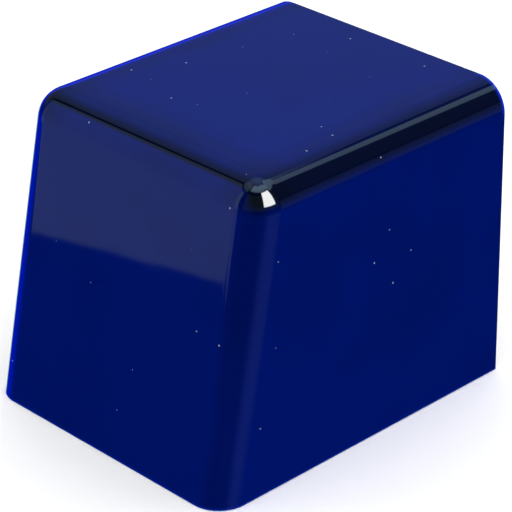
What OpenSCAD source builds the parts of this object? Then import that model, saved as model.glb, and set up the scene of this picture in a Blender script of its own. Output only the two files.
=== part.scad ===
// Cue chalk cube kept under a deep blue lift-off cover.
// Millimetres, +Z up. The origin is the middle of the cover's foot.
// The leaning front face looks towards -Y. The cover is open at its foot and at its back,
// and the tray's floor and upright back close it.

/* [Cover] */
// Height of the cover
cover_h = 25.6; // [25.6:0.1:30]
// Width of the cover across its foot
cover_w = 26.65; // [26.65:0.05:32]
// Depth of the cover across its foot, front to back
cover_d = 31.6; // [31:0.1:38]
// Lean of the front face back from the vertical, in degrees
front_lean = 10.7; // [4:0.1:12]
// Draft of the two side walls, in degrees
side_draft = 0.75; // [0.25:0.05:1]
// Radius of the rounded edges
edge_r = 2.7; // [2.3:0.1:3]
// Thickness of the wall and the roof
wall = 1.25; // [0.9:0.05:1.25]
// Diameter of the ejector pin marks under the roof
pin_mark_d = 3; // [2:0.5:4]
// Height of the ejector pin marks
pin_mark_h = 0.15; // [0.05:0.05:0.2]

/* [Chalk] */
// Side of the pressed chalk block
chalk_side = 22; // [20:0.1:22]
// Height of the pressed chalk block
chalk_h = 22.2; // [18:0.1:22.2]
// Radius of the block's upright edges
chalk_corner = 0.4; // [0.2:0.1:1]
// Bevel round the block's top
chalk_bevel = 0.6; // [0.2:0.1:1]
// Width of the hollow that the cue tip turns in
dimple_w = 13.5; // [8:0.5:18]
// Depth of that hollow
dimple_depth = 1.7; // [0.5:0.1:3]

/* [Label] */
// Thickness of the paper with its glue
paper_t = 0.15; // [0.1:0.05:0.2]
// Bare chalk left above the paper
bare_h = 1.8; // [1:0.1:6]

/* [Tray] */
// Height of the tray's lip above the table
tray_h = 2.6; // [2.2:0.1:6]
// Thickness of the tray's upright back
back_t = 1.2; // [0.8:0.1:1.5]
// Thickness of the tray's floor
floor_t = 0.9; // [0.7:0.1:1]
// Thickness of the lip and of the wall in front of the chalk
lip_t = 0.7; // [0.5:0.1:0.8]
// Gap between the tray and the cover
cover_gap = 0.15; // [0.1:0.05:0.2]
// How far the middle of the chalk stands behind the middle of the cover's foot
chalk_y = 1.7; // [1.5:0.1:2.5]
// Gap between the paper and the tray
pocket_gap = 0.15; // [0.05:0.05:0.2]
// Number of webs that stiffen the bay in front of the chalk
web_count = 3; // [0:1:6]
// Diameter of the upright ribs that grip the cover
rib_d = 0.8; // [0.6:0.1:1.2]

/* [Pad] */
// Thickness of the non-slip pad
pad_t = 0.6; // [0.5:0.1:0.8]
// Depth of the pad's seat in the tray
pad_seat = 0.5; // [0.3:0.1:0.5]
// Margin between the pad and the edge of the tray
pad_margin = 1.3; // [1:0.1:3]
// Corner radius of the pad
pad_corner = 2; // [0.5:0.1:4]

/* [Hidden] */
round_fn = 64;
form_fn = 32;
pad_gap = 0.1;
rib_gap = 0.04;
least_ball = 0.2;
pin_marks = [[-4.2, 12], [5.4, 9]];

floor_z = pad_t + floor_t;
chalk_z = floor_z + paper_t;
label_side = chalk_side + 2 * paper_t;
pocket_side = label_side + 2 * pocket_gap;
pocket_front = chalk_y - pocket_side / 2;
dimple_r = (pow(dimple_w / 2, 2) + pow(dimple_depth, 2)) / (2 * dimple_depth);
tray_inset = wall + cover_gap;
pad_w = cover_w - 2 * (tray_inset + pad_margin);
pad_d = cover_d - 2 * (tray_inset + pad_margin);

// Half width of the cover at height z, measured to a plane set in by inset
function side_x(z, inset) = cover_w / 2 - inset / cos(side_draft) - z * tan(side_draft);
// Y of the leaning front at height z, on a plane set in by inset
function front_y(z, inset) = -cover_d / 2 + inset / cos(front_lean) + z * tan(front_lean);

// The cover's outer form, its front, sides and roof set in by inset, running on past the foot and the back
module cover_form(inset) {
    ball = max(edge_r - inset, least_ball);
    seat = inset + ball;
    hull()
        for (sx = [-1, 1], z = [-cover_h / 4, cover_h - seat], y = [front_y(z, seat), cover_d])
            translate([sx * side_x(z, seat), y, z])
                sphere(ball, $fn = form_fn);
}

// A block wider than the part, from y = front to the back face and from z = low to z = high
module block(front, low, high) {
    translate([-cover_w, front, low])
        cube([2 * cover_w, cover_d / 2 - front, high - low]);
}

// A flat plate with round corners, standing on z = 0
module round_plate(w, d, r, h) {
    linear_extrude(h) {
        square([w - 2 * r, d], center = true);
        square([w, d - 2 * r], center = true);
        for (sx = [-1, 1], sy = [-1, 1])
            translate([sx * (w / 2 - r), sy * (d / 2 - r)])
                circle(r, $fn = round_fn);
    }
}

// A long bar along Y whose two top edges are bevelled
module bevelled_bar(w, h, bevel, length) {
    rotate([90, 0, 0])
        linear_extrude(length, center = true)
            polygon([
                [-w / 2, 0], [w / 2, 0], [w / 2, h - bevel],
                [w / 2 - bevel, h], [bevel - w / 2, h], [-w / 2, h - bevel]
            ]);
}

// Deep blue hood, open at the foot and at the back
module cover_shell() {
    color("mediumblue") {
        difference() {
            intersection() {
                cover_form(0);
                block(-cover_d, 0, cover_h);
            }
            cover_form(wall);
        }
        for (mark = pin_marks)
            translate([mark[0], mark[1], cover_h - wall - pin_mark_h])
                cylinder(h = pin_mark_h + wall / 4, d = pin_mark_d, $fn = round_fn);
    }
}

// Pressed chalk with a hollow in its top
module chalk_block() {
    color("royalblue")
        translate([0, chalk_y, chalk_z])
            difference() {
                intersection() {
                    round_plate(chalk_side, chalk_side, chalk_corner, chalk_h);
                    bevelled_bar(chalk_side, chalk_h, chalk_bevel, 2 * chalk_side);
                    rotate([0, 0, 90])
                        bevelled_bar(chalk_side, chalk_h, chalk_bevel, 2 * chalk_side);
                }
                translate([0, 0, chalk_h + dimple_r - dimple_depth])
                    sphere(dimple_r, $fn = round_fn);
            }
}

// Paper glued round the four sides of the chalk
module side_label() {
    label_h = chalk_h - bare_h;
    color("darkblue")
        translate([0, chalk_y, chalk_z])
            difference() {
                round_plate(label_side, label_side, chalk_corner + paper_t, label_h);
                translate([0, 0, -1])
                    round_plate(chalk_side, chalk_side, chalk_corner, label_h + 2);
            }
}

// Paper glued under the chalk
module base_label() {
    color("darkblue")
        translate([0, chalk_y, floor_z])
            round_plate(chalk_side, chalk_side, chalk_corner, paper_t);
}

// Upright ribs on the sides of the tray, a hair clear of the cover
module grip_ribs() {
    rib_low = pad_t;
    rib_high = tray_h - rib_d / 2;
    reach = rib_d / 2 + rib_gap + wall;
    for (sx = [-1, 1], y = [-cover_d / 4, 0, cover_d / 4])
        translate([sx * side_x(rib_high, reach), y, rib_low])
            cylinder(h = rib_high - rib_low, d = rib_d, $fn = round_fn);
}

// The open bay between the chalk and the leaning front, crossed by webs
module front_bay() {
    bay_back = pocket_front - lip_t;
    difference() {
        intersection() {
            cover_form(tray_inset + lip_t);
            translate([-cover_w, -cover_d, floor_z])
                cube([2 * cover_w, cover_d + bay_back, cover_h]);
        }
        for (i = [1:1:web_count])
            translate([(i / (web_count + 1) - 0.5) * cover_w - lip_t / 2, -cover_d, 0])
                cube([lip_t, cover_d, cover_h]);
    }
}

// Tray that the chalk stands in, with the upright back that closes the cover
module base_tray() {
    color("midnightblue")
        difference() {
            union() {
                intersection() {
                    cover_form(tray_inset);
                    union() {
                        block(-cover_d, pad_t - pad_seat, tray_h);
                        block(cover_d / 2 - back_t, pad_t - pad_seat, cover_h);
                    }
                }
                grip_ribs();
            }
            translate([-pocket_side / 2, pocket_front, floor_z])
                cube([pocket_side, pocket_side, cover_h]);
            front_bay();
            translate([0, 0, pad_t - cover_h])
                round_plate(pad_w + 2 * pad_gap, pad_d + 2 * pad_gap, pad_corner + pad_gap, cover_h);
        }
}

// Rubber pad that keeps the tray still while the cover comes off
module non_slip_pad() {
    color("dimgray")
        round_plate(pad_w, pad_d, pad_corner, pad_t);
}

cover_shell();
chalk_block();
side_label();
base_label();
base_tray();
non_slip_pad();
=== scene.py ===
import math

import bmesh
import bpy
from bpy.props import FloatProperty, FloatVectorProperty, IntProperty, PointerProperty
from bpy.types import Operator, Panel, PropertyGroup
from mathutils import Matrix, Vector, noise


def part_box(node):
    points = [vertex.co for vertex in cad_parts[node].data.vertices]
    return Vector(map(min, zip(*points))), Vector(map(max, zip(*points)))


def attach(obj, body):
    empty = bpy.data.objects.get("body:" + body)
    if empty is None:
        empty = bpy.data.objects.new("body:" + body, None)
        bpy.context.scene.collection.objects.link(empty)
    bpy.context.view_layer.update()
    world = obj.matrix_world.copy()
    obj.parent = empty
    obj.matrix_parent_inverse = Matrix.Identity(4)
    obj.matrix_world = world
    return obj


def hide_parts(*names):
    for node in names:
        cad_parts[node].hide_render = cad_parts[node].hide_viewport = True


bl_info = {
    "name": "Cue Chalk and Cover",
    "version": (1, 0, 0),
    "blender": (4, 5, 0),
    "location": "View3D > Sidebar > Cue Chalk",
    "description": "A pressed cue chalk cube in its paper, on a small tray under a deep blue cover",
    "category": "Object",
}

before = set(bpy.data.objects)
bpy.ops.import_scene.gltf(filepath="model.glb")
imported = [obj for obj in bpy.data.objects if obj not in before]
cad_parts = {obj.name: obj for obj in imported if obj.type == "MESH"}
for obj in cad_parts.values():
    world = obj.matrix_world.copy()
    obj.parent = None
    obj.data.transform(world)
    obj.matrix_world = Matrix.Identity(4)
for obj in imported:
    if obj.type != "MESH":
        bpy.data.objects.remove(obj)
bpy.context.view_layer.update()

MM = 0.001
COVER_LOW, COVER_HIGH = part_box("cover_shell")
CHALK_LOW, CHALK_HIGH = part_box("chalk_block")
SIDE_LOW, SIDE_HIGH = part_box("side_label")
BASE_LOW, BASE_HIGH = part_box("base_label")


# Sizes and colours


def length(name, description, default):
    return FloatProperty(
        name=name, description=description, default=default, min=0.0,
        subtype="DISTANCE", unit="LENGTH",
    )


def angle(name, description, degrees):
    return FloatProperty(
        name=name, description=description, default=math.radians(degrees),
        subtype="ANGLE", unit="ROTATION",
    )


def colour(name, description, default):
    return FloatVectorProperty(
        name=name, description=description, default=default, size=3,
        min=0.0, max=1.0, subtype="COLOR",
    )


def ratio(name, description, default):
    return FloatProperty(
        name=name, description=description, default=default, min=0.0, max=1.0, subtype="FACTOR"
    )


def aim(name, default):
    return FloatProperty(
        name=name, description="Point the camera looks at", default=default, unit="LENGTH"
    )


class CoverSettings(PropertyGroup):
    lean: angle("Front lean", "How far the front face leans back from upright", 10.7)
    draft: angle("Side draft", "How far each side leans in from upright", 0.75)
    edge_radius: length("Edge radius", "Radius of the rounded outer edges", 2.7 * MM)
    wall: length("Wall", "Thickness of the wall and the roof", 1.25 * MM)
    rim_break: length("Rim break", "Small rounding of the edges round the back and the foot", 0.1 * MM)
    segments: IntProperty(
        name="Segments", description="Faces across a rounded edge", default=20, min=4, max=40
    )
    body: colour("Body", "Deep blue of the flat faces", (0.0002, 0.0076, 0.153))
    # The colour of the painted glow along the cut back edge.
    painted_rim_glow: colour("Lit rim", "Bright blue where light leaves the cut back edge", (0.0, 0.02, 0.5))
    # The colour of the painted sheen on the rounded edges.
    painted_sheen: colour("Glow", "Sheen of the edges at a glancing angle", (0.0, 0.012, 0.62))
    dust: ratio("Dust", "How much dust lies on the gloss", 0.5)


class ChalkSettings(PropertyGroup):
    bevel: length("Top bevel", "Width of the worn edge round the top", 0.6 * MM)
    corner: length("Corner radius", "Radius of the upright edges", 0.4 * MM)
    dimple_width: length("Hollow width", "Width of the hollow that the cue tip turns in", 13.5 * MM)
    dimple_depth: length("Hollow depth", "Depth of that hollow", 1.65 * MM)
    wear: length("Wear", "Depth of the scuffs in the top", 0.14 * MM)
    steps: IntProperty(
        name="Steps", description="Faces across the top", default=88, min=16, max=120
    )
    chalk: colour("Chalk", "Colour of the pressed chalk", (0.035, 0.125, 0.46))
    powder: colour("Powder", "Colour of the loose chalk on the surface", (0.16, 0.33, 0.68))


class PaperSettings(PropertyGroup):
    thickness: length("Thickness", "Thickness of the paper with its glue", 0.15 * MM)
    corner: length("Corner radius", "Radius of the folds round the chalk", 0.55 * MM)
    ink: colour("Ink", "Ground colour of the side label", (0.005, 0.02, 0.14))
    line: colour("Line", "Colour of the printed lines", (0.62, 0.66, 0.72))
    paper: colour("Paper", "Bare paper where the ink has worn off", (0.6, 0.57, 0.5))
    line_width: length("Line width", "Width of the printed lines", 0.5 * MM)


class TraySettings(PropertyGroup):
    plastic: colour("Plastic", "Colour of the moulded tray", (0.004, 0.012, 0.09))
    powder: colour("Powder", "Chalk that has settled on the tray", (0.12, 0.26, 0.58))
    rubber: colour("Rubber", "Colour of the non-slip pad", (0.02, 0.02, 0.022))


class StageSettings(PropertyGroup):
    azimuth: angle("Azimuth", "Turn of the camera round the object from straight ahead", 45.62)
    elevation: angle("Elevation", "Height of the camera above the horizon", 27.895)
    roll: angle("Roll", "Turn of the camera about its own line of sight", 0.13)
    distance: length("Distance", "From the camera to the point it looks at", 204.65 * MM)
    aim_x: aim("Aim X", 1.03 * MM)
    aim_y: aim("Aim Y", 0.22 * MM)
    aim_z: aim("Aim Z", 11.71 * MM)
    lens: FloatProperty(
        name="Lens", description="Focal length in millimetres", default=181.3, min=20.0, max=400.0
    )


# The surroundings that the gloss mirrors, as patches against the dark: west and east side, lower
# and upper level, softness of the sides and of the levels, brightness. Sides are degrees turned
# from +Y towards +X, levels are degrees above the horizon.
ROOM = (
    # A pale card to the front left, which the front face mirrors, and a brighter part of it.
    (-143.0, -110.5, -12.9, 46.5, 1.5, 0.15, 0.31),
    (-150.0, -143.0, -11.9, 46.5, 1.5, 0.3, 0.31),
    (-163.0, -150.0, -10.9, 46.5, 1.5, 0.6, 0.31),
    (-163.0, -146.0, -4.0, 42.0, 6.0, 8.0, 0.25),
    # A dim wall behind to the left, brighter higher up, which the roof mirrors.
    (-104.5, 1.0, 8.0, 90.0, 1.5, 20.0, 0.13),
    (-104.5, 1.0, 36.0, 90.0, 6.0, 14.0, 0.06),
    # Darker walls behind to the right, and to the right and in front.
    (4.0, 60.0, 14.0, 60.0, 2.0, 6.0, 0.045),
    (60.0, 190.0, 0.0, 50.0, 10.0, 10.0, 0.1),
    # Faint light low on the right, which the edges of the right side mirror.
    (30.0, 56.0, -11.0, 11.0, 3.0, 5.0, 0.1),
    (60.0, 110.0, -27.0, -15.0, 34.0, 6.0, 0.09),
    # The lit bench top behind.
    (-78.0, 35.0, -70.0, -12.0, 8.0, 6.0, 1.0),
)
ROOM_TINT = (1.0, 1.25, 0.8)
# The pale ceiling and the top of the wall behind, which only the edges of the roof mirror.
CEILING = (
    (11.0, 26.0, 36.0, 51.0, 3.0, 3.0, 0.66),
    (0.0, 66.0, 51.0, 74.0, 8.0, 5.0, 1.0),
    (60.0, 182.0, 60.0, 80.0, 20.0, 8.0, 1.3),
    (-172.0, -108.0, 53.0, 72.0, 12.0, 8.0, 0.42),
    (-200.0, 200.0, 68.0, 110.0, 2.0, 20.0, 0.4),
)
CEILING_TINT = (1.0, 1.5, 1.9)
# One bright soft box to the right, which the rounded corner mirrors.
LAMP = ((74.0, 113.0, 12.0, 57.0, 4.0, 4.0, 22.0),)
LAMP_TINT = (1.0, 1.0, 1.0)
# Soft light on the object: its mean brightness, and how it grows towards +X, +Y and up.
SOFT_MEAN = 1.0
SOFT_SLOPE = (0.075, 0.247, 0.5)
FLOOR_REACH = 3.0
FLOOR_DROP = 0.02 * MM
FLOOR_ALBEDO = 0.97
# Painted shade along the cover's roof on the sides and on the front: the shade at the edge, where
# it begins and stops fading in edge radii, and how much of it stays on the turned part.
SIDE_PAINTED_SHADE = (0.6, 0.3, 0.9, 1.0)
FRONT_PAINTED_SHADE = (0.65, 0.22, 0.6, 0.15)
# Colour of the painted shade on the cover's rounded edges.
PAINTED_SHADE_BLUE = (0.0, 0.0012, 0.004)
DUST_GREY = (0.55, 0.57, 0.6)
CHALK_ON_PRINT = (0.06, 0.16, 0.45)
CHALK_ON_PAPER = (0.1, 0.2, 0.45)
DUST_ON_RUBBER = (0.14, 0.17, 0.22)
# Index of refraction of each finish.
COVER_IOR = 1.49
CHALK_IOR = 1.45
PAPER_IOR = 1.45
TRAY_IOR = 1.5
# Middles of the faint sink marks over the ejector pins in the roof, which also get a painted highlight in
# the cover's colour.
SINKS = ((-4.2 * MM, 12.0 * MM), (5.4 * MM, 9.0 * MM))
# Rings of the chalk's worn top edge: how far out and down its bevel each lies, and the share of
# the corner radius that it has.
WORN_RINGS = ((0.45, 0.16, 0.6), (0.82, 0.5, 0.9), (1.0, 1.0, 1.0))
# Rounds after which a point has settled inside the cover's planes.
SETTLING_ROUNDS = 24
# Share of the radius that the bevel takes, before its points are drawn out onto the radius.
BEVEL_SHARE = 0.93


# Mesh helpers


def finish_piece(bm, name, body, material, cad_nodes):
    """Turns a bmesh into a smooth-shaded piece that rides on a body and stands for CAD nodes."""
    mesh = bpy.data.meshes.new(name)
    for face in bm.faces:
        face.smooth = True
    bm.to_mesh(mesh)
    bm.free()
    piece = bpy.data.objects.new(name, mesh)
    bpy.context.scene.collection.objects.link(piece)
    mesh.materials.append(material)
    normals = piece.modifiers.new("flat_faces_stay_flat", "WEIGHTED_NORMAL")
    normals.weight = 100
    normals.keep_sharp = True
    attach(piece, body)
    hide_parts(*cad_nodes)
    return piece


def form_planes(s, inset):
    """The leaning front, the two sides and the roof of the cover, each set in by inset."""
    half_w, half_d = COVER_HIGH.x, -COVER_LOW.y
    front = Vector((0, -math.cos(s.lean), math.sin(s.lean)))
    right = Vector((math.cos(s.draft), 0, math.sin(s.draft)))
    left = Vector((-right.x, 0, right.z))
    roof = Vector((0, 0, 1))
    return [
        (front, half_d * math.cos(s.lean) - inset),
        (right, half_w * math.cos(s.draft) - inset),
        (left, half_w * math.cos(s.draft) - inset),
        (roof, COVER_HIGH.z - inset),
    ]


def nearest_in_form(point, planes):
    """The nearest point to point that lies inside every plane (Dykstra's projections)."""
    here = point.copy()
    kept = [Vector((0, 0, 0)) for _ in planes]
    for _ in range(SETTLING_ROUNDS):
        for i, (normal, reach) in enumerate(planes):
            tried = here + kept[i]
            here = tried - max(normal.dot(tried) - reach, 0.0) * normal
            kept[i] = tried - here
    return here


def rounded_form(s, inset):
    """The cover's form, open at the foot and the back, with its front, sides and roof set in by inset."""
    bm = bmesh.new()
    bmesh.ops.create_cube(bm, size=1.0)
    radius = s.edge_radius - inset
    back = COVER_HIGH.y
    deep = COVER_HIGH.z / 4
    far = back + 4 * MM
    half_w, half_d = COVER_HIGH.x, -COVER_LOW.y
    for v in bm.verts:
        z = COVER_HIGH.z - inset if v.co.z > 0 else -deep
        side = half_w - inset / math.cos(s.draft) - z * math.tan(s.draft)
        front = -half_d + inset / math.cos(s.lean) + z * math.tan(s.lean)
        v.co = Vector((math.copysign(side, v.co.x), far if v.co.y > 0 else front, z))
    soft = [
        e for e in bm.edges
        if not all(v.co.y > back for v in e.verts) and not all(v.co.z < 0 for v in e.verts)
    ]
    bmesh.ops.bevel(
        bm, geom=soft, offset=radius * BEVEL_SHARE, offset_type="OFFSET", segments=s.segments,
        profile=0.5, affect="EDGES", material=-1, clamp_overlap=False,
    )
    core = form_planes(s, inset + radius)
    for v in bm.verts:
        heart = nearest_in_form(v.co, core)
        v.co = heart + (v.co - heart).normalized() * radius
    for place, normal in (((0, back, 0), (0, 1, 0)), ((0, 0, 0), (0, 0, -1))):
        bmesh.ops.bisect_plane(
            bm, geom=bm.verts[:] + bm.edges[:] + bm.faces[:], dist=1e-7,
            plane_co=place, plane_no=normal, clear_outer=True,
        )
    return bm


# Materials


def new_material(name):
    material = bpy.data.materials.new(name)
    material.use_nodes = True
    tree = material.node_tree
    tree.nodes.clear()
    return material, tree


def add(tree, kind, **settings):
    node = tree.nodes.new(kind)
    for key, value in settings.items():
        setattr(node, key, value)
    return node


def maths(tree, operation, *values, clamp=False):
    """A Math node whose inputs are sockets or numbers."""
    node = add(tree, "ShaderNodeMath", operation=operation, use_clamp=clamp)
    for i, value in enumerate(values):
        if isinstance(value, (int, float)):
            node.inputs[i].default_value = value
        else:
            tree.links.new(value, node.inputs[i])
    return node.outputs[0]


def ramp(tree, value, low, high, start=0.0, end=1.0, smooth=True):
    """Carries value from low..high to start..end and holds it there."""
    node = add(tree, "ShaderNodeMapRange", interpolation_type="SMOOTHSTEP" if smooth else "LINEAR")
    tree.links.new(value, node.inputs["Value"])
    for socket, number in (("From Min", low), ("From Max", high), ("To Min", start), ("To Max", end)):
        node.inputs[socket].default_value = number
    return node.outputs["Result"]


def grain(tree, place, scale, detail=4.0, roughness=0.55, distortion=0.0):
    """Noise of the given number of lumps per metre."""
    node = add(tree, "ShaderNodeTexNoise")
    tree.links.new(place, node.inputs["Vector"])
    node.inputs["Scale"].default_value = scale
    node.inputs["Detail"].default_value = detail
    node.inputs["Roughness"].default_value = roughness
    node.inputs["Distortion"].default_value = distortion
    return node.outputs["Fac"]


def specks(tree, place, scale, size, share):
    """Small round specks: grid per metre, size within a cell, share of cells that hold one."""
    node = add(tree, "ShaderNodeTexVoronoi")
    tree.links.new(place, node.inputs["Vector"])
    node.inputs["Scale"].default_value = scale
    dot = ramp(tree, node.outputs["Distance"], size * 0.5, size, 1.0, 0.0)
    parts = add(tree, "ShaderNodeSeparateColor")
    tree.links.new(node.outputs["Color"], parts.inputs[0])
    kept = maths(tree, "LESS_THAN", parts.outputs[0], share)
    return maths(tree, "MULTIPLY", dot, kept)


def blend(tree, share, first, second):
    """A mix of two colours, each a socket or a plain colour."""
    node = add(tree, "ShaderNodeMix", data_type="RGBA")
    tree.links.new(share, node.inputs["Factor"])
    for socket, value in (("A", first), ("B", second)):
        end = next(i for i in node.inputs if i.name == socket and i.type == "RGBA")
        if hasattr(value, "links"):
            tree.links.new(value, end)
        else:
            end.default_value = (*value, 1)
    return next(o for o in node.outputs if o.type == "RGBA")


def bump(tree, height, depth):
    """A normal from a height of 0 to 1 that stands for depth in metres."""
    node = add(tree, "ShaderNodeBump")
    node.inputs["Strength"].default_value = 1.0
    node.inputs["Distance"].default_value = depth
    tree.links.new(height, node.inputs["Height"])
    return node.outputs["Normal"]


def finish_material(tree, base, roughness, normal, ior):
    """A plain surface shader with the given colour, roughness and normal sockets."""
    output = add(tree, "ShaderNodeOutputMaterial")
    shader = add(tree, "ShaderNodeBsdfPrincipled")
    tree.links.new(base, shader.inputs["Base Color"])
    tree.links.new(roughness, shader.inputs["Roughness"])
    tree.links.new(normal, shader.inputs["Normal"])
    shader.inputs["IOR"].default_value = ior
    tree.links.new(shader.outputs["BSDF"], output.inputs["Surface"])


def object_place(tree):
    """The place on the piece, in metres."""
    return add(tree, "ShaderNodeTexCoord").outputs["Object"]


def along(tree, place, axis):
    """The share of a place or a direction along X, Y or Z."""
    parts = add(tree, "ShaderNodeSeparateXYZ")
    tree.links.new(place, parts.inputs[0])
    return parts.outputs[axis]


def facing_up(tree):
    """1 on level faces that look up, 0 on upright ones."""
    normal = add(tree, "ShaderNodeTexCoord").outputs["Normal"]
    return ramp(tree, along(tree, normal, "Z"), 0.6, 0.95)


def between(tree, value, low, high, soft):
    """1 where value lies between low and high, falling to 0 over soft on each side."""
    half = (high - low) / 2
    off = maths(tree, "ABSOLUTE", maths(tree, "SUBTRACT", value, (low + high) / 2))
    return ramp(tree, off, half - soft / 2, half + soft / 2, 1.0, 0.0)


def shaded(colour_value, share):
    """A colour made darker or lighter by share."""
    return tuple(c * share for c in colour_value)


def plane_depth(tree, place, plane):
    """How far a point lies inside one plane of the cover's form, in metres."""
    normal, offset = plane
    reach = add(tree, "ShaderNodeVectorMath", operation="DOT_PRODUCT")
    tree.links.new(place, reach.inputs[0])
    reach.inputs[1].default_value = normal
    return maths(tree, "SUBTRACT", offset, reach.outputs["Value"])


def distance_to(tree, place, point):
    """Distance of the surface from a point, in metres."""
    away = add(tree, "ShaderNodeVectorMath", operation="DISTANCE")
    tree.links.new(place, away.inputs[0])
    away.inputs[1].default_value = point
    return away.outputs["Value"]


def painted_edge_shade(tree, r, side, front, roof):
    """How much of the body colour shows where painted shade darkens the cover's edges of radius r."""
    under_roof = ramp(tree, roof, 0.5 * r, 1.0 * r, 1.0, 0.0)
    light = 1.0
    for depth, (deepest, near, far, least) in ((side, SIDE_PAINTED_SHADE), (front, FRONT_PAINTED_SHADE)):
        wide = ramp(tree, depth, 0.6 * r, 2.0 * r, 0.3, 0.0)
        tight = ramp(tree, depth, near * r, far * r, deepest, 0.0)
        turned = ramp(tree, depth, 0.16 * r, 0.26 * r, least, 1.0)
        reach = maths(tree, "MULTIPLY", under_roof, turned)
        shade = maths(tree, "MULTIPLY", reach, maths(tree, "ADD", wide, tight))
        light = maths(tree, "MULTIPLY", light, maths(tree, "SUBTRACT", 1.0, shade))
    on_side = ramp(tree, side, 0.5 * r, 1.0 * r, 0.32, 0.0)
    on_front = ramp(tree, front, 0.38 * r, 0.62 * r, 1.0, 0.0)
    upright = maths(tree, "MULTIPLY", on_side, on_front)
    return maths(tree, "MULTIPLY", light, maths(tree, "SUBTRACT", 1.0, upright))


def dye_streaks_and_painted_sink_highlight(tree, place, light):
    """The share of the body colour, made streaky with the dye, and brighter over the sink marks as a
    painted highlight.
    """
    streaks = ramp(tree, grain(tree, place, 90.0, 3.0), 0.3, 0.7, 0.9, 1.1)
    light = maths(tree, "MULTIPLY", light, streaks)
    for sink_x, sink_y in SINKS:
        away = distance_to(tree, place, (sink_x, sink_y, COVER_HIGH.z))
        # A painted highlight over each sink mark.
        mark = ramp(tree, away, 0.3 * MM, 1.5 * MM, 0.3, 0.0)
        painted_sink_highlight = maths(tree, "MULTIPLY", mark, ramp(tree, grain(tree, place, 900.0), 0.35, 0.65))
        light = maths(tree, "MULTIPLY", light, maths(tree, "ADD", painted_sink_highlight, 1.0))
    return light


def cover_edges(tree, r, side, front, roof):
    """Masks of the rounded edges that run along the roof and of those beside the front."""
    rounded_side = ramp(tree, side, 0.8 * r, 1.25 * r, 1.0, 0.0)
    by_roof = maths(tree, "MULTIPLY", rounded_side, ramp(tree, roof, 0.8 * r, 1.2 * r, 1.0, 0.0))
    by_front = maths(tree, "MULTIPLY", rounded_side, ramp(tree, front, 0.8 * r, 1.2 * r, 1.0, 0.0))
    return by_roof, maths(tree, "MULTIPLY", by_front, ramp(tree, roof, 0.3 * r, 1.0 * r))


def painted_edge_sheen(tree, by_roof, by_front):
    """Painted sheen of the rounded edges, which grows as they turn out of sight."""
    glance = add(tree, "ShaderNodeLayerWeight")
    glance.inputs["Blend"].default_value = 0.5
    facing = glance.outputs["Facing"]
    on_front = maths(tree, "MULTIPLY", by_front, ramp(tree, facing, 0.36, 0.68))
    on_roof = maths(tree, "MULTIPLY", by_roof, ramp(tree, facing, 0.57, 0.72))
    return maths(tree, "MAXIMUM", on_front, on_roof)


def painted_cut_edge_glow(tree, place, by_roof):
    """Mask of the painted glow along the cut edge of the wall at the back and at the foot."""
    at_back = ramp(tree, along(tree, place, "Y"), COVER_HIGH.y - 0.5 * MM, COVER_HIGH.y - 0.1 * MM)
    at_foot = ramp(tree, along(tree, place, "Z"), 0.08 * MM, 0.3 * MM, 0.45, 0.0)
    return maths(tree, "MAXIMUM", maths(tree, "MULTIPLY", at_back, by_roof), at_foot)


def cover_swell(tree, place):
    """Height of the slow waves in the moulded faces, sunk at the sink marks."""
    swell = grain(tree, place, 110.0, 2.0)
    for sink_x, sink_y in SINKS:
        away = distance_to(tree, place, (sink_x, sink_y, COVER_HIGH.z))
        swell = maths(tree, "ADD", swell, ramp(tree, away, 0.2 * MM, 1.6 * MM, -0.9, 0.0))
    return swell


def cover_plastic(s):
    """Glossy deep blue plastic with painted shade along its rounded edges, a painted sheen on them and a
    painted glow at its cut edges.
    """
    material, tree = new_material("cover_plastic")
    place = object_place(tree)
    r = s.edge_radius
    front, right, left, roof = (plane_depth(tree, place, plane) for plane in form_planes(s, 0.0))
    side = maths(tree, "MINIMUM", right, left)
    light = dye_streaks_and_painted_sink_highlight(tree, place, painted_edge_shade(tree, r, side, front, roof))
    # The body colour, darkened by the painted shade along the rounded edges.
    body = blend(tree, light, PAINTED_SHADE_BLUE, s.body)
    by_roof, by_front = cover_edges(tree, r, side, front, roof)
    # Painted sheen on the rounded edges at a glancing angle.
    lit = blend(tree, painted_edge_sheen(tree, by_roof, by_front), body, s.painted_sheen)
    # Painted glow along the cut edges at the back and at the foot.
    lit = blend(tree, painted_cut_edge_glow(tree, place, by_roof), lit, s.painted_rim_glow)
    grit = specks(tree, place, 500.0, 0.05, 0.6)
    lint = specks(tree, place, 900.0, 0.05, 0.15)
    dusty = maths(tree, "MULTIPLY", maths(tree, "MAXIMUM", grit, lint), s.dust)
    base = blend(tree, dusty, lit, DUST_GREY)
    handled = ramp(tree, grain(tree, place, 240.0, 6.0, 0.7), 0.5, 0.75, 0.02, 0.05)
    roughness = maths(tree, "MAXIMUM", handled, maths(tree, "MULTIPLY", dusty, 0.8))
    waves = bump(tree, cover_swell(tree, place), 0.004 * MM)
    finish_material(tree, base, roughness, waves, COVER_IOR)
    return material


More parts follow.
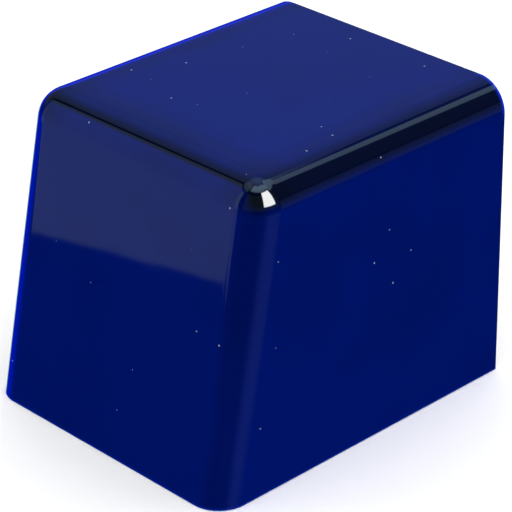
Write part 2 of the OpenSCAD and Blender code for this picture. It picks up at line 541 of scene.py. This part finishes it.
def chalk_stone(s):
    """Pressed chalk: fine grain, paler powder in patches, a rubbed hollow and painted shade in its pits.
    """
    material, tree = new_material("chalk")
    place = object_place(tree)
    fine = grain(tree, place, 5200.0, 3.0, 0.7)
    middle = grain(tree, place, 900.0, 5.0, 0.6)
    broad = grain(tree, place, 190.0, 4.0, 0.6, 0.6)
    tone = blend(tree, ramp(tree, middle, 0.3, 0.7), shaded(s.chalk, 0.72), s.chalk)
    loose = maths(tree, "ADD", broad, maths(tree, "MULTIPLY", fine, 0.35))
    dusted = blend(tree, ramp(tree, loose, 0.62, 0.88), tone, s.powder)
    pits_with_painted_shade = specks(tree, place, 1500.0, 0.3, 0.25)
    # Painted shade darkens the pits.
    base = blend(tree, maths(tree, "MULTIPLY", pits_with_painted_shade, 0.55), dusted, shaded(s.chalk, 0.4))
    hollow_low, hollow_high = CHALK_HIGH.z - s.dimple_depth, CHALK_HIGH.z - 0.2 * MM
    rubbed = ramp(tree, along(tree, place, "Z"), hollow_low, hollow_high, 0.68, 0.95)
    roughness = maths(tree, "ADD", rubbed, maths(tree, "MULTIPLY", middle, 0.05))
    height = maths(tree, "ADD", fine, maths(tree, "MULTIPLY", middle, 1.4))
    height = maths(tree, "SUBTRACT", height, maths(tree, "MULTIPLY", pits_with_painted_shade, 0.9))
    finish_material(tree, base, roughness, bump(tree, height, 0.07 * MM), CHALK_IOR)
    return material


def printed_lines(tree, z, low, high, width):
    """Two level lines near the foot of the wrap and two near its top."""
    lines = 0.0
    for level in (low + 1.6 * MM, low + 2.8 * MM, high - 2.8 * MM, high - 1.6 * MM):
        off = maths(tree, "ABSOLUTE", maths(tree, "SUBTRACT", z, level))
        line = ramp(tree, off, width * 0.45, width * 0.55, 1.0, 0.0)
        lines = maths(tree, "MAXIMUM", lines, line)
    return lines


def printed_lattice(tree, run, z, low, high):
    """Crossed slanting threads between the level lines."""
    lattice = 0.0
    for slope in (1.0, -1.0):
        slanted = maths(tree, "ADD", run, maths(tree, "MULTIPLY", z, slope))
        thread = ramp(tree, maths(tree, "PINGPONG", slanted, 1.1 * MM), 0.05 * MM, 0.12 * MM, 1.0, 0.0)
        lattice = maths(tree, "MAXIMUM", lattice, thread)
    field = between(tree, z, low + 4.2 * MM, high - 4.2 * MM, 0.1 * MM)
    return maths(tree, "MULTIPLY", maths(tree, "MULTIPLY", lattice, field), 0.35)


def worn_paper(tree, place, across, deep, half, z, high):
    """1 where the print has rubbed off, along the folds and the top edge."""
    fold_x = ramp(tree, maths(tree, "ABSOLUTE", across), half - 1.1 * MM, half)
    fold_y = ramp(tree, maths(tree, "ABSOLUTE", deep), half - 1.1 * MM, half)
    fold = maths(tree, "MULTIPLY", fold_x, fold_y)
    top = maths(tree, "MULTIPLY", ramp(tree, z, high - 1.0 * MM, high), 0.8)
    ragged = maths(tree, "MULTIPLY", grain(tree, place, 1300.0, 6.0, 0.7), 0.9)
    return ramp(tree, maths(tree, "ADD", maths(tree, "MAXIMUM", fold, top), ragged), 1.0, 1.25)


def side_paper(s):
    """Printed wrap with plain lines and a fine lattice, worn along its folds and its top edge."""
    material, tree = new_material("side_label")
    place = object_place(tree)
    x, z = along(tree, place, "X"), along(tree, place, "Z")
    deep = maths(tree, "SUBTRACT", along(tree, place, "Y"), (SIDE_LOW.y + SIDE_HIGH.y) / 2)
    low, high = SIDE_LOW.z, SIDE_HIGH.z
    half = (SIDE_HIGH.x - SIDE_LOW.x) / 2
    lines = printed_lines(tree, z, low, high, s.line_width)
    lattice = printed_lattice(tree, maths(tree, "ADD", x, deep), z, low, high)
    mottled = blend(tree, grain(tree, place, 700.0, 5.0), shaded(s.ink, 0.8), shaded(s.ink, 1.25))
    printed = blend(tree, maths(tree, "MAXIMUM", lines, lattice), mottled, s.line)
    worn = worn_paper(tree, place, x, deep, half, z, high)
    base = blend(tree, worn, printed, s.paper)
    patches = ramp(tree, grain(tree, place, 260.0, 5.0, 0.65), 0.48, 0.75)
    blue_dust = maths(tree, "MULTIPLY", patches, 0.45)
    base = blend(tree, blue_dust, base, CHALK_ON_PRINT)
    roughness = ramp(tree, maths(tree, "ADD", worn, blue_dust), 0.0, 1.0, 0.5, 0.9)
    fibres = maths(tree, "ADD", grain(tree, place, 3000.0, 4.0, 0.6), maths(tree, "MULTIPLY", worn, -0.8))
    finish_material(tree, base, roughness, bump(tree, fibres, 0.03 * MM), PAPER_IOR)
    return material


def base_paper(s):
    """Plain uncoated paper under the chalk."""
    material, tree = new_material("base_label")
    place = object_place(tree)
    tone = blend(tree, grain(tree, place, 900.0, 5.0), shaded(s.paper, 0.8), s.paper)
    dusted = ramp(tree, grain(tree, place, 240.0), 0.5, 0.75, 0.0, 0.4)
    base = blend(tree, dusted, tone, CHALK_ON_PAPER)
    roughness = ramp(tree, grain(tree, place, 1500.0), 0.3, 0.7, 0.75, 0.9)
    fibres = bump(tree, grain(tree, place, 3200.0), 0.03 * MM)
    finish_material(tree, base, roughness, fibres, PAPER_IOR)
    return material


def tray_plastic(s):
    """Moulded plastic with a fine spark-eroded texture and settled chalk dust."""
    material, tree = new_material("tray_plastic")
    place = object_place(tree)
    darker, lighter = shaded(s.plastic, 0.8), shaded(s.plastic, 1.2)
    tone = blend(tree, grain(tree, place, 160.0, 4.0), darker, lighter)
    clumps = ramp(tree, grain(tree, place, 420.0, 6.0, 0.7), 0.42, 0.72)
    settled = maths(tree, "MULTIPLY", maths(tree, "MULTIPLY", clumps, facing_up(tree)), 0.75)
    smears = ramp(tree, grain(tree, place, 230.0, 6.0, 0.72), 0.5, 0.85)
    powder = maths(tree, "MAXIMUM", settled, maths(tree, "MULTIPLY", smears, 0.3))
    base = blend(tree, powder, tone, s.powder)
    roughness = ramp(tree, powder, 0.0, 0.8, 0.42, 0.9)
    texture = maths(tree, "ADD", grain(tree, place, 2600.0, 2.0), maths(tree, "MULTIPLY", powder, 0.6))
    finish_material(tree, base, roughness, bump(tree, texture, 0.03 * MM), TRAY_IOR)
    return material


def pad_rubber(s):
    """Soft rubber with a close dimpled face and dust in it."""
    material, tree = new_material("pad_rubber")
    place = object_place(tree)
    dots = add(tree, "ShaderNodeTexVoronoi")
    tree.links.new(place, dots.inputs["Vector"])
    dots.inputs["Scale"].default_value = 1100.0
    dots.inputs["Randomness"].default_value = 0.15
    dimples = dots.outputs["Distance"]
    dust = ramp(tree, grain(tree, place, 330.0, 5.0, 0.65), 0.5, 0.8, 0.0, 0.35)
    base = blend(tree, dust, s.rubber, DUST_ON_RUBBER)
    roughness = ramp(tree, dimples, 0.0, 0.8, 0.7, 0.92)
    finish_material(tree, base, roughness, bump(tree, dimples, 0.06 * MM), TRAY_IOR)
    return material


def floor_paper():
    """Plain pale paper."""
    material, tree = new_material("floor")
    output = add(tree, "ShaderNodeOutputMaterial")
    shader = add(tree, "ShaderNodeBsdfPrincipled")
    shader.inputs["Base Color"].default_value = (FLOOR_ALBEDO, FLOOR_ALBEDO, FLOOR_ALBEDO, 1)
    shader.inputs["Roughness"].default_value = 0.8
    tree.links.new(shader.outputs["BSDF"], output.inputs["Surface"])
    return material


# Operators


class CUECHALK_OT_cover(Operator):
    """Builds the deep blue hood"""

    bl_idname = "cuechalk.cover"
    bl_label = "Cover"

    def execute(self, context):
        s = context.scene.cuechalk_cover
        outer = rounded_form(s, 0.0)
        inner = rounded_form(s, s.wall)
        lining = bpy.data.meshes.new("lining")
        inner.to_mesh(lining)
        inner.free()
        outer.from_mesh(lining)
        bpy.data.meshes.remove(lining)
        loops = [e for e in outer.edges if e.is_boundary]
        bmesh.ops.bridge_loops(outer, edges=loops)
        bmesh.ops.recalc_face_normals(outer, faces=outer.faces[:])
        back = COVER_HIGH.y - 1e-6
        crisp = [
            e for e in outer.edges
            if (all(v.co.y > back for v in e.verts) or all(v.co.z < 1e-6 for v in e.verts))
            and e.calc_face_angle(0.0) > math.radians(60)
        ]
        bmesh.ops.bevel(
            outer, geom=crisp, offset=s.rim_break, offset_type="OFFSET", segments=3,
            profile=0.5, affect="EDGES", material=-1, clamp_overlap=True,
        )
        finish_piece(outer, "cover", "cover", cover_plastic(s), ["cover_shell"])
        return {"FINISHED"}


def rounded_corner(x, y, half, radius):
    """Moves a point of a square's edge onto the square with rounded corners."""
    straight = half - radius
    core = Vector((max(-straight, min(straight, x)), max(-straight, min(straight, y))))
    away = Vector((x, y)) - core
    if away.length < 1e-9 or min(abs(x), abs(y)) <= straight:
        return x, y
    return tuple(core + away.normalized() * radius)


def skirt(bm, edges, half, radius, z):
    """Draws a loop of edges out to a rounded square at height z and gives the new loop."""
    grown = bmesh.ops.extrude_edge_only(bm, edges=edges)["geom"]
    rim = [v for v in grown if isinstance(v, bmesh.types.BMVert)]
    widest = max(abs(v.co.x) for v in rim)
    for v in rim:
        x, y = v.co.x * half / widest, v.co.y * half / widest
        v.co.x, v.co.y = rounded_corner(x, y, half, radius)
        v.co.z = z
    return [e for e in grown if isinstance(e, bmesh.types.BMEdge)]


def scuffs(place):
    """How deep the worn top is scuffed, from 0 to 1."""
    return min(max(noise.fractal(place * 300.0, 0.8, 2.1, 4) + 0.35, 0.0), 1.0)


def chips(place):
    """How deep the top edge is chipped, in metres."""
    return max(noise.noise(place * 900.0) - 0.25, 0.0) * 0.35 * MM


class CUECHALK_OT_chalk(Operator):
    """Builds the pressed chalk with its worn hollow"""

    bl_idname = "cuechalk.chalk"
    bl_label = "Chalk"

    def execute(self, context):
        s = context.scene.cuechalk_chalk
        half = (CHALK_HIGH.x - CHALK_LOW.x) / 2
        top = CHALK_HIGH.z
        bm = bmesh.new()
        bmesh.ops.create_grid(bm, x_segments=s.steps, y_segments=s.steps, size=half - s.bevel)
        for v in bm.verts:
            far = math.hypot(v.co.x, v.co.y) / (s.dimple_width / 2)
            hollow = s.dimple_depth * max(1.0 - far * far, 0.0)
            softened = s.dimple_depth * 0.05 * math.exp(-((far - 1.0) / 0.12) ** 2)
            v.co.z = top - hollow - softened - s.wear * scuffs(v.co)
        loop = [e for e in bm.edges if e.is_boundary]
        for out, down, rounding in WORN_RINGS:
            reach, level = half - s.bevel * (1 - out), top - s.bevel * down
            loop = skirt(bm, loop, reach, s.corner * rounding, level)
            for v in {v for e in loop for v in e.verts}:
                chip = chips(v.co)
                v.co.z -= chip
                v.co.x -= math.copysign(chip, v.co.x)
                v.co.y -= math.copysign(chip, v.co.y)
        for z in (top - 1.6 * MM, SIDE_HIGH.z - 0.1 * MM, CHALK_LOW.z):
            loop = skirt(bm, loop, half - 0.02 * MM, s.corner, z)
        bmesh.ops.contextual_create(bm, geom=loop)
        bmesh.ops.translate(bm, verts=bm.verts[:], vec=(0, (CHALK_LOW.y + CHALK_HIGH.y) / 2, 0))
        bmesh.ops.recalc_face_normals(bm, faces=bm.faces[:])
        finish_piece(bm, "chalk", "base", chalk_stone(s), ["chalk_block"])
        return {"FINISHED"}


def paper_block(low, high, corner):
    """A plain block between two corners with its upright edges rounded."""
    bm = bmesh.new()
    bmesh.ops.create_cube(bm, size=1.0)
    for v in bm.verts:
        v.co = Vector((high[i] if v.co[i] > 0 else low[i] for i in range(3)))
    upright = [e for e in bm.edges if abs(e.verts[0].co.z - e.verts[1].co.z) > 1e-6]
    bmesh.ops.bevel(
        bm, geom=upright, offset=corner, offset_type="OFFSET", segments=8,
        profile=0.5, affect="EDGES", material=-1, clamp_overlap=True,
    )
    return bm


class CUECHALK_OT_side_label(Operator):
    """Wraps the printed paper round the chalk"""

    bl_idname = "cuechalk.side_label"
    bl_label = "Side label"

    def execute(self, context):
        s = context.scene.cuechalk_paper
        bm = paper_block(SIDE_LOW, SIDE_HIGH, s.corner)
        flat = [f for f in bm.faces if abs(f.normal.z) > 0.5]
        bmesh.ops.delete(bm, geom=flat, context="FACES")
        bmesh.ops.recalc_face_normals(bm, faces=bm.faces[:])
        bmesh.ops.solidify(bm, geom=bm.faces[:], thickness=s.thickness)
        bmesh.ops.recalc_face_normals(bm, faces=bm.faces[:])
        finish_piece(bm, "side_label", "base", side_paper(s), ["side_label"])
        return {"FINISHED"}


class CUECHALK_OT_base_label(Operator):
    """Lays the paper under the chalk"""

    bl_idname = "cuechalk.base_label"
    bl_label = "Base label"

    def execute(self, context):
        s = context.scene.cuechalk_paper
        bm = paper_block(BASE_LOW, BASE_HIGH, s.corner - s.thickness)
        finish_piece(bm, "base_label", "base", base_paper(s), ["base_label"])
        return {"FINISHED"}


class CUECHALK_OT_tray(Operator):
    """Finishes the tray and the non-slip pad"""

    bl_idname = "cuechalk.tray"
    bl_label = "Tray and pad"

    def execute(self, context):
        s = context.scene.cuechalk_tray
        for node, material in (("base_tray", tray_plastic(s)), ("non_slip_pad", pad_rubber(s))):
            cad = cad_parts[node]
            cad.data.materials.clear()
            cad.data.materials.append(material)
        return {"FINISHED"}


class CUECHALK_OT_stage(Operator):
    """Sets out the floor, the lights and the camera"""

    bl_idname = "cuechalk.stage"
    bl_label = "Stage"

    def execute(self, context):
        s = context.scene.cuechalk_stage
        place_camera(context, s)
        light_world(context)
        lay_floor(context)
        return {"FINISHED"}


def place_camera(context, s):
    """Puts the camera on its line of sight, looking at the aim point."""
    camera = bpy.data.objects.new("camera", bpy.data.cameras.new("camera"))
    context.scene.collection.objects.link(camera)
    context.scene.camera = camera
    camera.data.lens = s.lens
    camera.data.sensor_width = 36.0
    camera.data.clip_start = 0.01
    camera.data.clip_end = 50.0
    back = Vector((
        math.sin(s.azimuth) * math.cos(s.elevation),
        -math.cos(s.azimuth) * math.cos(s.elevation),
        math.sin(s.elevation),
    ))
    turn = (-back).to_track_quat("-Z", "Y").to_matrix().to_4x4() @ Matrix.Rotation(-s.roll, 4, "Z")
    place = Vector((s.aim_x, s.aim_y, s.aim_z)) + back * s.distance
    camera.matrix_world = Matrix.Translation(place) @ turn


def mirrored(tree, patches):
    """Brightness of the patches in each direction, and 0 between them."""
    direction = add(tree, "ShaderNodeTexCoord").outputs["Generated"]
    turn = maths(tree, "ARCTAN2", along(tree, direction, "X"), along(tree, direction, "Y"))
    rise = maths(tree, "ARCSINE", along(tree, direction, "Z"))
    total = 0.0
    for west, east, low, high, side_soft, level_soft, strength in patches:
        across = between(tree, turn, *(math.radians(a) for a in (west, east, side_soft)))
        up = between(tree, rise, *(math.radians(a) for a in (low, high, level_soft)))
        total = maths(tree, "MULTIPLY_ADD", maths(tree, "MULTIPLY", across, up), strength, total)
    return total


def soft_light(tree):
    """Brightness of the soft light, which grows evenly across the room."""
    slope = add(tree, "ShaderNodeVectorMath", operation="DOT_PRODUCT")
    tree.links.new(add(tree, "ShaderNodeTexCoord").outputs["Generated"], slope.inputs[0])
    slope.inputs[1].default_value = SOFT_SLOPE
    return maths(tree, "ADD", slope.outputs["Value"], SOFT_MEAN)


def background(tree, tint, strength):
    node = add(tree, "ShaderNodeBackground")
    node.inputs["Color"].default_value = (*tint, 1)
    tree.links.new(strength, node.inputs["Strength"])
    return node.outputs[0]


def together(tree, first, second):
    """Two lights at once."""
    node = add(tree, "ShaderNodeAddShader")
    tree.links.new(first, node.inputs[0])
    tree.links.new(second, node.inputs[1])
    return node.outputs[0]


def light_world(context):
    """Soft light all round, and the room, ceiling and lamp for what the gloss mirrors."""
    world = bpy.data.worlds.new("studio")
    context.scene.world = world
    world.use_nodes = True
    tree = world.node_tree
    tree.nodes.clear()
    soft = background(tree, (1.0, 1.0, 1.0), soft_light(tree))
    room = background(tree, ROOM_TINT, mirrored(tree, ROOM))
    ceiling = background(tree, CEILING_TINT, mirrored(tree, CEILING))
    lamp = background(tree, LAMP_TINT, mirrored(tree, LAMP))
    mix = add(tree, "ShaderNodeMixShader")
    tree.links.new(add(tree, "ShaderNodeLightPath").outputs["Is Glossy Ray"], mix.inputs[0])
    tree.links.new(soft, mix.inputs[1])
    tree.links.new(together(tree, room, together(tree, ceiling, lamp)), mix.inputs[2])
    tree.links.new(mix.outputs[0], add(tree, "ShaderNodeOutputWorld").inputs[0])
    context.scene.view_settings.view_transform = "Standard"


def lay_floor(context):
    """Lays the plain floor just under the object. The gloss doesn't mirror it."""
    bm = bmesh.new()
    bmesh.ops.create_grid(bm, x_segments=1, y_segments=1, size=FLOOR_REACH)
    mesh = bpy.data.meshes.new("floor")
    bm.to_mesh(mesh)
    bm.free()
    floor = bpy.data.objects.new("floor", mesh)
    context.scene.collection.objects.link(floor)
    mesh.materials.append(floor_paper())
    floor.visible_glossy = False
    floor.visible_diffuse = False
    floor.location.z = -FLOOR_DROP


class CUECHALK_PT_panel(Panel):
    """Lists the pieces of the cue chalk"""

    bl_idname = "CUECHALK_PT_panel"
    bl_label = "Cue Chalk"
    bl_space_type = "VIEW_3D"
    bl_region_type = "UI"
    bl_category = "Cue Chalk"

    def draw(self, context):
        for operator in OPERATORS:
            self.layout.operator(operator.bl_idname)


OPERATORS = (
    CUECHALK_OT_cover, CUECHALK_OT_chalk, CUECHALK_OT_side_label,
    CUECHALK_OT_base_label, CUECHALK_OT_tray, CUECHALK_OT_stage,
)
SETTINGS = {
    "cuechalk_cover": CoverSettings,
    "cuechalk_chalk": ChalkSettings,
    "cuechalk_paper": PaperSettings,
    "cuechalk_tray": TraySettings,
    "cuechalk_stage": StageSettings,
}
CLASSES = (*SETTINGS.values(), *OPERATORS, CUECHALK_PT_panel)


def register():
    for cls in CLASSES:
        bpy.utils.register_class(cls)
    for name, settings in SETTINGS.items():
        setattr(bpy.types.Scene, name, PointerProperty(type=settings))


def unregister():
    for name in SETTINGS:
        delattr(bpy.types.Scene, name)
    for cls in reversed(CLASSES):
        bpy.utils.unregister_class(cls)


def main():
    register()
    bpy.ops.cuechalk.cover()
    bpy.ops.cuechalk.chalk()
    bpy.ops.cuechalk.side_label()
    bpy.ops.cuechalk.base_label()
    bpy.ops.cuechalk.tray()
    bpy.ops.cuechalk.stage()


if __name__ == "__main__":
    main()
